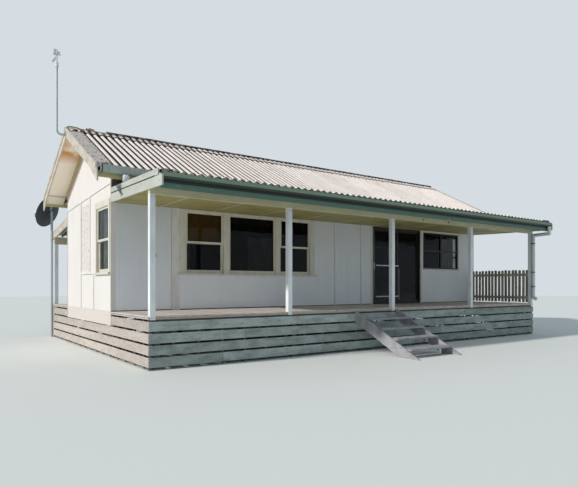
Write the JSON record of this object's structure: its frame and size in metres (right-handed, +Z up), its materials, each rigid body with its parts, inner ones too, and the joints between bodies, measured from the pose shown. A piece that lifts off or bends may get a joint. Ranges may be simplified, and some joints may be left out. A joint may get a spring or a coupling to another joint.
{
  "type": "beach house",
  "caption": "Small sheet-clad beach house on stumps with a corrugated gable roof, long front veranda, rear porch and a glass sliding door.",
  "frame": {"origin": "on the ground under the middle of the ridge, at the foot of the middle stump", "axes": "+X to the right along the front, +Y towards the back, +Z up"},
  "size_m": [11.8926, 9.0661, 6.2403],
  "materials": {
    "stump_timber": "rough weathered hardwood",
    "floor_boards": "worn painted boards",
    "front_skirting_paint": "thin weathered green-grey paint",
    "side_skirting_paint": "thin weathered cream paint",
    "wall_sheet": "painted flat fibre cement",
    "roof_sheet": "weathered corrugated fibre cement",
    "ridge_sheet": "lichen-dark fibre cement",
    "verge_sheet": "weathered flat fibre cement",
    "cream_timber": "aged cream gloss paint",
    "soffit_sheet": "painted flat sheet with rust stains",
    "gutter_grey": "weathered grey-green paint",
    "gutter_green": "green gloss paint",
    "fascia_green": "green gloss paint",
    "post_white": "white gloss paint",
    "beam_paint": "aged cream paint",
    "end_board_paint": "pale grey-green paint",
    "pipe_metal": "pale grey paint",
    "window_paint": "cream gloss paint",
    "window_glass": "clear, dark behind",
    "dark_aluminium": "dark anodised",
    "steps_timber": "bare silvered hardwood",
    "paling_timber": "bare sawn hardwood",
    "galvanised": "dull galvanised",
    "dish_metal": "matt dark grey paint"
  },
  "bodies": {
    "house": {"stumps": "stump_timber", "bearers": "stump_timber", "floor": "floor_boards", "front_deck": "floor_boards", "rear_deck": "floor_boards", "front_skirting": "front_skirting_paint", "side_skirting": "side_skirting_paint", "rear_skirting": "front_skirting_paint", "left_gable_wall": "wall_sheet", "right_gable_wall": "wall_sheet", "front_wall_left": "wall_sheet", "front_wall_right": "wall_sheet", "front_wall_over_door": "wall_sheet", "back_wall": "wall_sheet", "cover_strips": "wall_sheet", "front_roof": "roof_sheet", "back_roof": "roof_sheet", "ridge_capping": "ridge_sheet", "verge_cappings": "verge_sheet", "barge_boards": "cream_timber", "verge_soffit": "soffit_sheet", "main_eaves": "cream_timber", "main_gutters": "gutter_grey", "veranda_posts": "post_white", "rear_porch_posts": "post_white", "beams": "beam_paint", "rafters": "beam_paint", "veranda_ceiling": "beam_paint", "veranda_fascia": "fascia_green", "veranda_gutter": "gutter_green", "veranda_roof": "roof_sheet", "veranda_end_boards": "end_board_paint", "rear_porch_roof": "roof_sheet", "rear_porch_barges": "cream_timber", "downpipe": "pipe_metal", "window_frames": "window_paint", "window_sashes": "window_paint", "window_glass": "window_glass", "aluminium_window": "dark_aluminium", "opening_trims": "window_paint", "sliding_door_frame": "dark_aluminium", "fixed_door_panel": "dark_aluminium", "back_door": "window_paint", "steps": "steps_timber", "balustrade": "paling_timber", "antenna": "galvanised", "antenna_head": "post_white", "satellite_dish": "dish_metal"},
    "sliding_leaf": {"sliding_door_panel": "dark_aluminium", "sliding_door_glass": "window_glass", "push_bars": "post_white"}
  },
  "joints": [
    {"name": "door_slide", "type": "slide", "parent": "house", "child": "sliding_leaf", "axis": [1, 0, 0], "range_m": [0, 0.82]}
  ]
}
